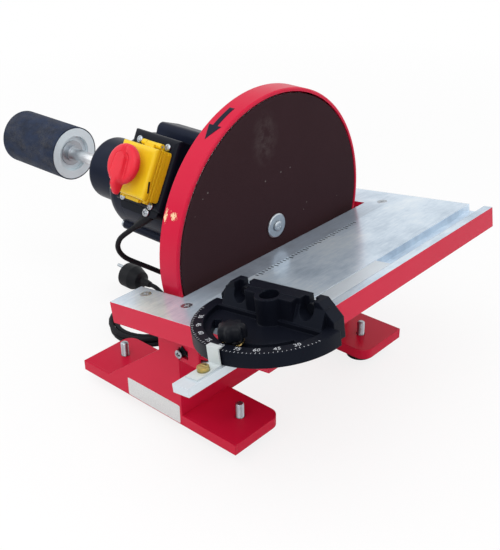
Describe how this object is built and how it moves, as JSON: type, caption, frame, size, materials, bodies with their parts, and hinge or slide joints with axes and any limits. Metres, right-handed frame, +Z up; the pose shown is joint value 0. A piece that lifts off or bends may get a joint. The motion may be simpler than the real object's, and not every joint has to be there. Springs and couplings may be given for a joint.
{
  "type": "benchtop disc sander",
  "caption": "Bench disc sander: motor-driven vertical disc in a guard, tilting table with sliding miter gauge, and a sanding drum on the rear shaft end.",
  "frame": {"origin": "on the bench, plumb below the middle of the disc's abrasive face", "axes": "+Z up, +X to the right along the disc face as the user stands at the table, +Y back along the spindle to the motor and the drum"},
  "size_m": [0.494, 0.7051, 0.366],
  "materials": {
    "red_paint": "gloss red paint on sheet steel",
    "table_metal": "cast, milled top, red painted skirt",
    "black_cast": "die casting, satin black",
    "motor_paint": "satin black paint",
    "bell_paint": "satin black paint",
    "black_plastic": "moulded, fine grain",
    "yellow_plastic": "moulded",
    "red_plastic": "moulded",
    "green_plastic": "moulded",
    "zinc_steel": "zinc plated",
    "bar_steel": "ground",
    "core_steel": "laminated",
    "bearing_steel": "ground",
    "copper": "varnished wire",
    "disc_metal": "turned",
    "abrasive": "brown coated abrasive",
    "drum_abrasive": "dark coated abrasive",
    "rubber": "moulded",
    "cord_rubber": "extruded sheath",
    "pin_metal": "nickel plated"
  },
  "bodies": {
    "root": {"left_side_plate": "red_paint", "right_side_plate": "red_paint", "left_foot_plate": "red_paint", "right_foot_plate": "red_paint", "front_cross_plate": "red_paint", "rear_bulkhead": "red_paint", "disc_guard": "red_paint", "motor_housing": "motor_paint", "front_bell": "bell_paint", "rear_bell": "bell_paint", "fan_cover": "black_plastic", "capacitor_cover": "black_plastic", "switch_box": "black_plastic", "switch_module": "black_plastic", "plug_body": "black_plastic", "switch_frame": "yellow_plastic", "foot_studs": "zinc_steel", "foot_nuts": "zinc_steel", "guard_bolts": "zinc_steel", "flange_bolts": "zinc_steel", "tie_bolts": "zinc_steel", "box_screws": "zinc_steel", "lid_pin": "zinc_steel", "pivot_bolts": "zinc_steel", "pivot_nuts": "zinc_steel", "lock_screws": "zinc_steel", "stator_core": "core_steel", "shaft_bearings": "bearing_steel", "stator_windings": "copper", "rubber_feet": "rubber", "cord_run": "cord_rubber", "cord_coil": "cord_rubber", "cord_tail": "cord_rubber", "cord_gland": "cord_rubber", "plug_pins": "pin_metal"},
    "rotor": {"motor_shaft": "bar_steel", "rotor_core": "core_steel", "cooling_fan": "black_plastic", "disc_plate": "disc_metal", "abrasive_disc": "abrasive", "disc_washer": "zinc_steel", "disc_screw": "zinc_steel", "drum_core": "disc_metal", "drum_sleeve": "drum_abrasive", "drum_washers": "zinc_steel", "drum_nut": "zinc_steel"},
    "table": {"table": "table_metal", "left_trunnion": "zinc_steel", "right_trunnion": "zinc_steel", "table_screws": "zinc_steel"},
    "miter_carriage": {"miter_bar": "bar_steel", "pointer_bracket": "zinc_steel", "gauge_screws": "zinc_steel"},
    "miter_head": {"miter_head": "black_cast", "fence_screws": "zinc_steel"},
    "miter_knob": {"lock_knob": "black_plastic"},
    "switch_lid": {"switch_lid": "yellow_plastic"},
    "stop_paddle": {"stop_paddle": "red_plastic"},
    "start_button": {"start_button": "green_plastic"},
    "stop_button": {"stop_button": "red_plastic"}
  },
  "joints": [
    {"name": "spindle_spin", "type": "hinge", "parent": "root", "child": "rotor", "pos_m": [0, 0, 0.21], "axis": [0, 1, 0], "continuous": true},
    {"name": "table_tilt", "type": "hinge", "parent": "root", "child": "table", "pos_m": [0, -0.012, 0.164], "axis": [1, 0, 0], "range_deg": [0, 53.2]},
    {"name": "miter_slide", "type": "slide", "parent": "table", "child": "miter_carriage", "axis": [1, 0, 0], "range_m": [-0.06, 0.2]},
    {"name": "miter_swivel", "type": "hinge", "parent": "miter_carriage", "child": "miter_head", "pos_m": [-0.17, -0.14096, 0.20683], "axis": [0, 0.1426, 0.9898], "range_deg": [-60, 60]},
    {"name": "miter_knob_turn", "type": "hinge", "parent": "miter_carriage", "child": "miter_knob", "pos_m": [-0.222, -0.14096, 0.20683], "axis": [0, 0.1426, 0.9898], "range_deg": [0, 360]},
    {"name": "lid_hinge", "type": "hinge", "parent": "root", "child": "switch_lid", "pos_m": [-0.05211, 0.1415, 0.28879], "axis": [0, 1, 0], "range_deg": [0, 110]},
    {"name": "paddle_push", "type": "slide", "parent": "switch_lid", "child": "stop_paddle", "axis": [0.8829, 0, -0.4695], "range_m": [0, 0.003], "stiffness_N_per_m": 400},
    {"name": "start_push", "type": "slide", "parent": "root", "child": "start_button", "axis": [0.8829, 0, -0.4695], "range_m": [0, 0.003], "stiffness_N_per_m": 300},
    {"name": "stop_push", "type": "slide", "parent": "root", "child": "stop_button", "axis": [0.8829, 0, -0.4695], "range_m": [0, 0.003], "stiffness_N_per_m": 300}
  ],
  "couplings": [
    {"joint": "stop_push", "follows": "paddle_push", "ratio": 1}
  ]
}
